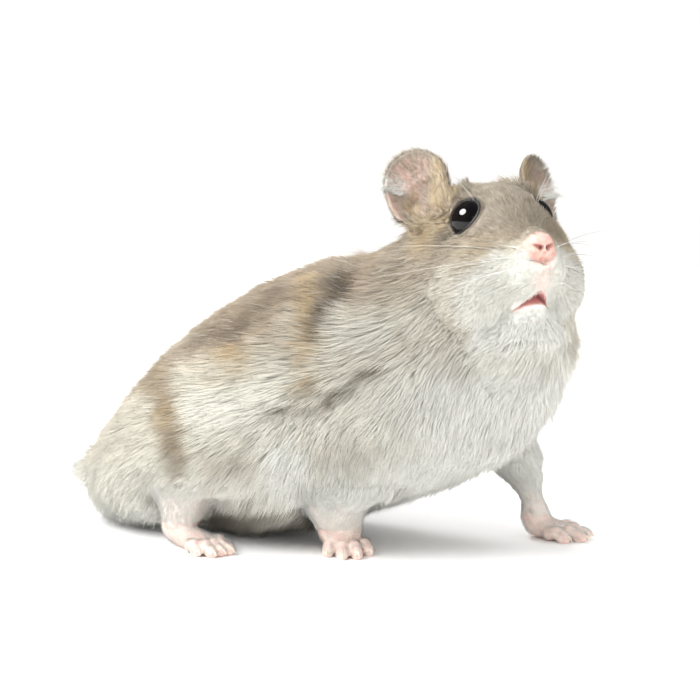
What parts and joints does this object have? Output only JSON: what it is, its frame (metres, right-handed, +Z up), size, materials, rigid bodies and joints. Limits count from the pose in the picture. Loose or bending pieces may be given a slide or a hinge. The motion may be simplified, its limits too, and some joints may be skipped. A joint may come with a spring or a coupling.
{
  "type": "campbell's dwarf hamster",
  "caption": "Life-size still model of a Campbell's dwarf hamster, standing in mid-step with its head raised and turned to its right; soft grey-brown coat, pale belly.",
  "frame": {"origin": "on the floor, under the middle of the outline's box", "axes": "+X from rump to breast along the trunk, +Y to the animal's left, +Z up"},
  "size_m": [0.0998, 0.0478, 0.0681],
  "materials": {
    "coat": "soft fur, grey-brown above and white below",
    "bare_skin": "pink skin with sparse white hair",
    "tongue": "moist pink",
    "eye": "polished black",
    "claw": "translucent pale horn",
    "whisker": "fine glossy hair"
  },
  "bodies": {
    "root": {"trunk": "coat", "neck": "coat", "head": "coat", "foreleg_left": "coat", "foreleg_right": "coat", "hindleg_left": "coat", "hindleg_right": "coat", "tail": "coat", "ear_left": "bare_skin", "ear_right": "bare_skin", "nose": "bare_skin", "tongue": "tongue", "forefoot_left": "bare_skin", "forefoot_right": "bare_skin", "hindfoot_left": "bare_skin", "hindfoot_right": "bare_skin", "eye_left": "eye", "eye_right": "eye"}
  },
  "joints": []
}
